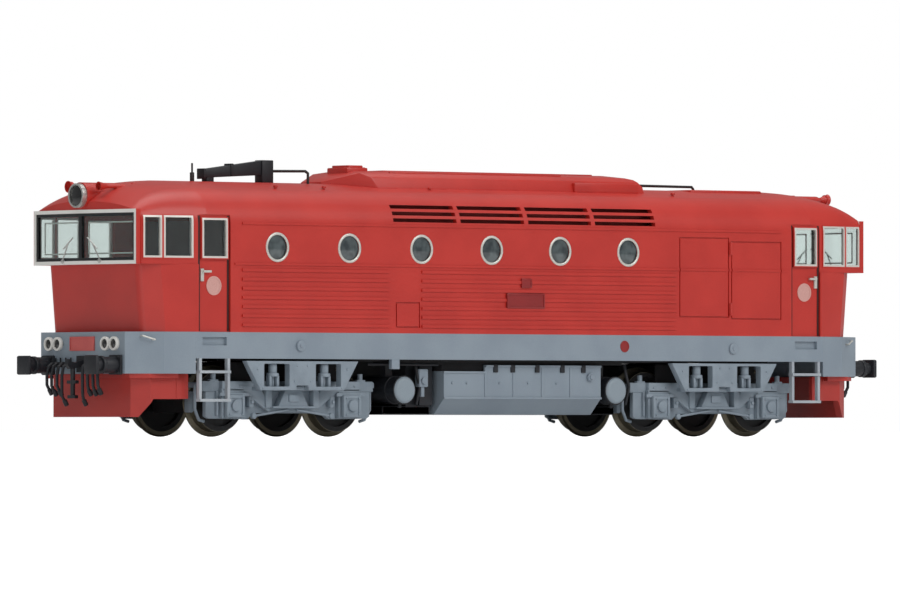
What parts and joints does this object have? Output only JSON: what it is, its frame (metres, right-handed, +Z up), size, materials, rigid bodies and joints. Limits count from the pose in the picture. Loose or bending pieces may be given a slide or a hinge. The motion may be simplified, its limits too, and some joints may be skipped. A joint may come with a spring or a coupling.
{
  "type": "scale model diesel locomotive",
  "caption": "Scale model of a two-cab diesel locomotive with goggle windscreens, portholes, a roof hood, swivelling bogies and turning wheelsets.",
  "frame": {"origin": "centre of the length and width, at the foot of the wheel flanges", "axes": "+X along the locomotive towards its rear cab, +Y across it, +Z up"},
  "size_m": [0.1914, 0.0358, 0.0514],
  "materials": {
    "body_red": "satin red lacquer on moulded plastic",
    "plough_red": "satin red lacquer",
    "frame_grey": "satin blue-grey lacquer",
    "bogie_grey": "matt blue-grey plastic",
    "chassis_metal": "blackened die-cast block",
    "exhaust_black": "matt black",
    "rail_black": "black wire",
    "under_black": "matt black",
    "gasket_black": "black print",
    "window_silver": "silver print",
    "screen_white": "white satin",
    "lamp_silver": "silver",
    "clear_glass": "clear plastic",
    "dark_glass": "dark tinted pane",
    "cab_grey": "matt grey",
    "wheel_metal": "darkened wheel metal"
  },
  "bodies": {
    "body": {"air_reservoirs": "frame_grey", "beam_lamps_front": "lamp_silver", "beam_lamps_rear": "lamp_silver", "body_shell": "body_red", "brake_hoses_front": "under_black", "brake_hoses_rear": "under_black", "buffers_front": "under_black", "buffers_rear": "under_black", "cab_interior_front": "cab_grey", "cab_interior_rear": "cab_grey", "chassis": "chassis_metal", "door_handles": "window_silver", "door_steps": "frame_grey", "drawgear_front": "under_black", "drawgear_rear": "under_black", "exhaust": "exhaust_black", "frame_band": "frame_grey", "fuel_tank": "frame_grey", "headlight_fairing_front": "body_red", "headlight_fairing_rear": "body_red", "headlight_front": "lamp_silver", "headlight_rear": "lamp_silver", "horns_front": "body_red", "horns_rear": "body_red", "plough_front": "plough_red", "plough_rear": "plough_red", "porthole_glass": "dark_glass", "porthole_rings": "window_silver", "roof_hatch": "body_red", "roof_hood": "body_red", "roof_rails": "rail_black", "side_window_frames": "window_silver", "side_window_glass": "clear_glass", "underframe_boxes": "under_black", "windscreen_frame_front": "screen_white", "windscreen_frame_rear": "screen_white", "windscreen_gasket_front": "gasket_black", "windscreen_gasket_rear": "gasket_black", "windscreen_glass_front": "clear_glass", "windscreen_glass_rear": "clear_glass"},
    "bogie_front": {"axle_boxes_front": "bogie_grey", "bogie_frame_front": "bogie_grey", "bogie_springs_front": "bogie_grey"},
    "bogie_rear": {"axle_boxes_rear": "bogie_grey", "bogie_frame_rear": "bogie_grey", "bogie_springs_rear": "bogie_grey"},
    "wheelset_1": {"wheelset_1": "wheel_metal"},
    "wheelset_2": {"wheelset_2": "wheel_metal"},
    "wheelset_3": {"wheelset_3": "wheel_metal"},
    "wheelset_4": {"wheelset_4": "wheel_metal"}
  },
  "joints": [
    {"name": "bogie_swivel_front", "type": "hinge", "parent": "body", "child": "bogie_front", "pos_m": [-0.0517, 0, 0.0142], "axis": [0, 0, 1], "range_deg": [-8, 8]},
    {"name": "bogie_swivel_rear", "type": "hinge", "parent": "body", "child": "bogie_rear", "pos_m": [0.0517, 0, 0.0142], "axis": [0, 0, 1], "range_deg": [-8, 8]},
    {"name": "wheelset_1_spin", "type": "hinge", "parent": "bogie_front", "child": "wheelset_1", "pos_m": [-0.0655, 0, 0.0066], "axis": [0, 1, 0], "continuous": true},
    {"name": "wheelset_2_spin", "type": "hinge", "parent": "bogie_front", "child": "wheelset_2", "pos_m": [-0.0379, 0, 0.0066], "axis": [0, 1, 0], "continuous": true},
    {"name": "wheelset_3_spin", "type": "hinge", "parent": "bogie_rear", "child": "wheelset_3", "pos_m": [0.0379, 0, 0.0066], "axis": [0, 1, 0], "continuous": true},
    {"name": "wheelset_4_spin", "type": "hinge", "parent": "bogie_rear", "child": "wheelset_4", "pos_m": [0.0655, 0, 0.0066], "axis": [0, 1, 0], "continuous": true}
  ]
}
